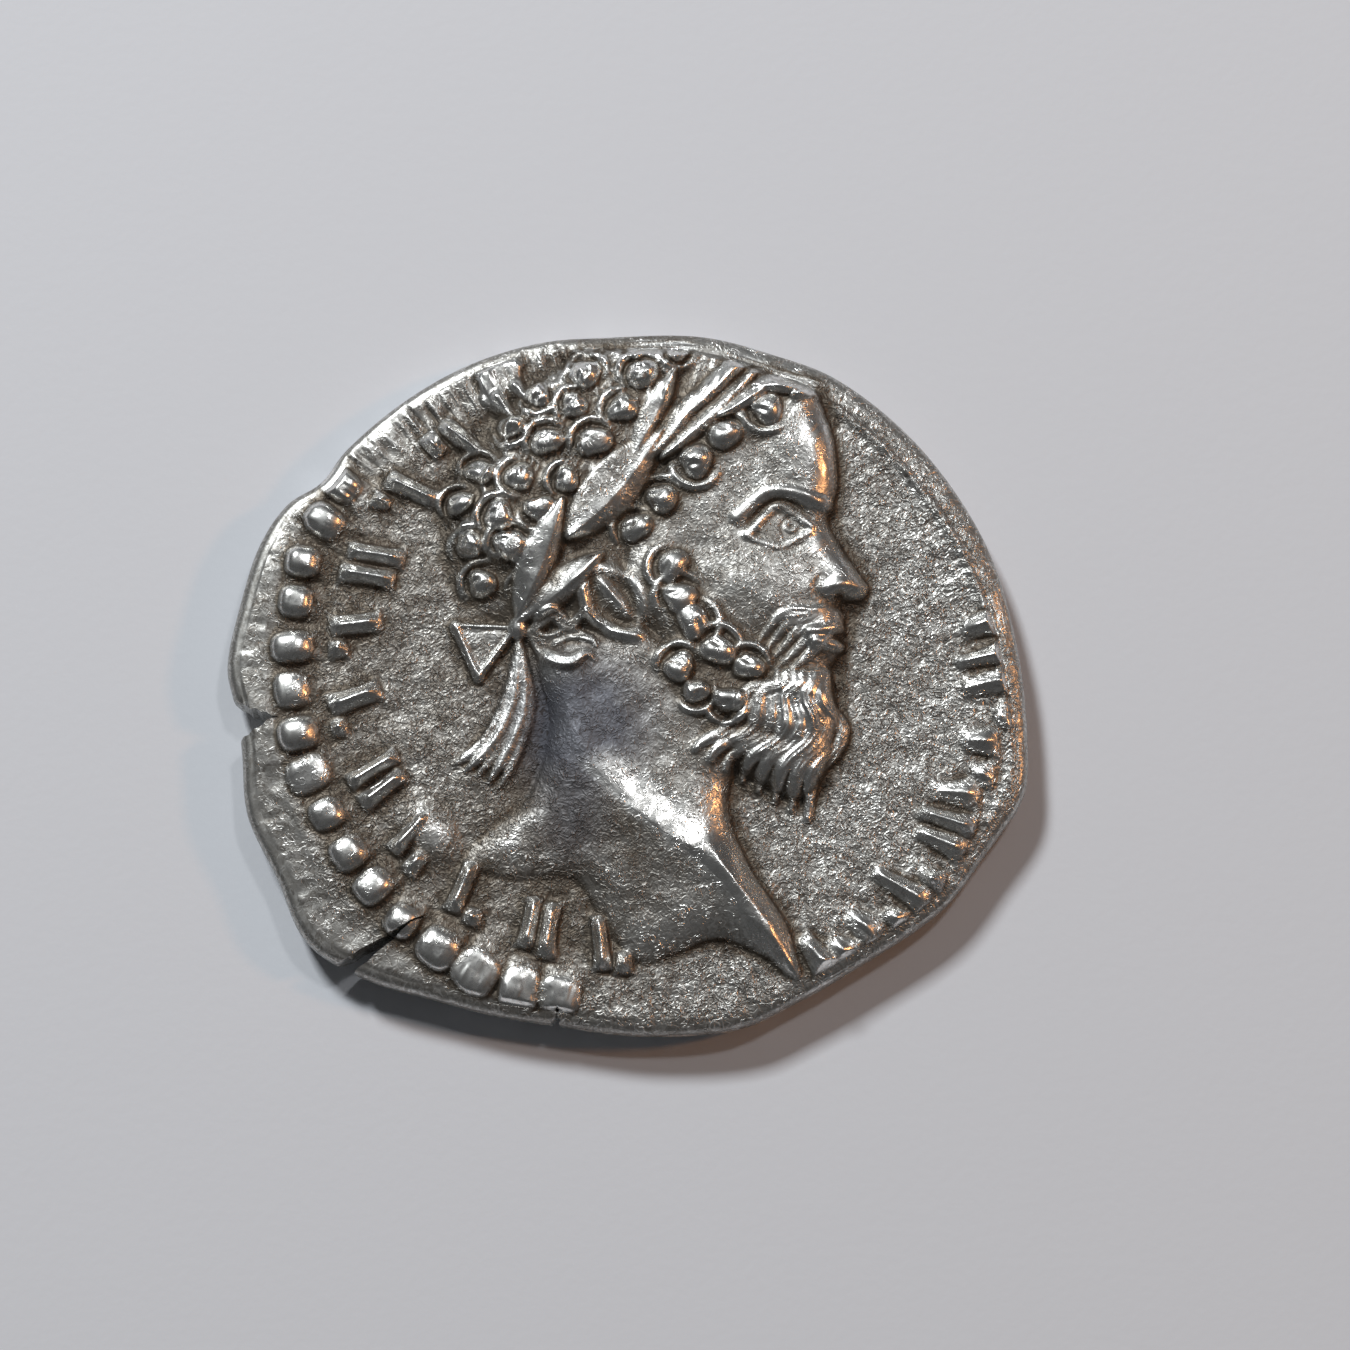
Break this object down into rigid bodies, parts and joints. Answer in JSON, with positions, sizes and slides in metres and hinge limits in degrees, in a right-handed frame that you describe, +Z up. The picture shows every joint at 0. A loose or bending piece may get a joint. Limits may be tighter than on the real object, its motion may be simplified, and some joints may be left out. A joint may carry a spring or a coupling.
{
  "type": "denarius coin",
  "caption": "Hammered silver coin on an uneven flan with a notch and splits, a laurelled bearded head in profile in a ring of pellets, and a standing draped figure below.",
  "frame": {"origin": "under the middle of the flan, on the surface that the coin lies on", "axes": "+Z up out of the portrait side, +X the way the portrait faces and the coin's longest way, +Y towards the top of the head"},
  "size_m": [0.0188, 0.0166, 0.002],
  "materials": {
    "silver": "worn struck silver, bright on the high relief and toned grey-brown in the fields and recesses"
  },
  "bodies": {
    "root": {"coin": "silver"}
  },
  "joints": []
}
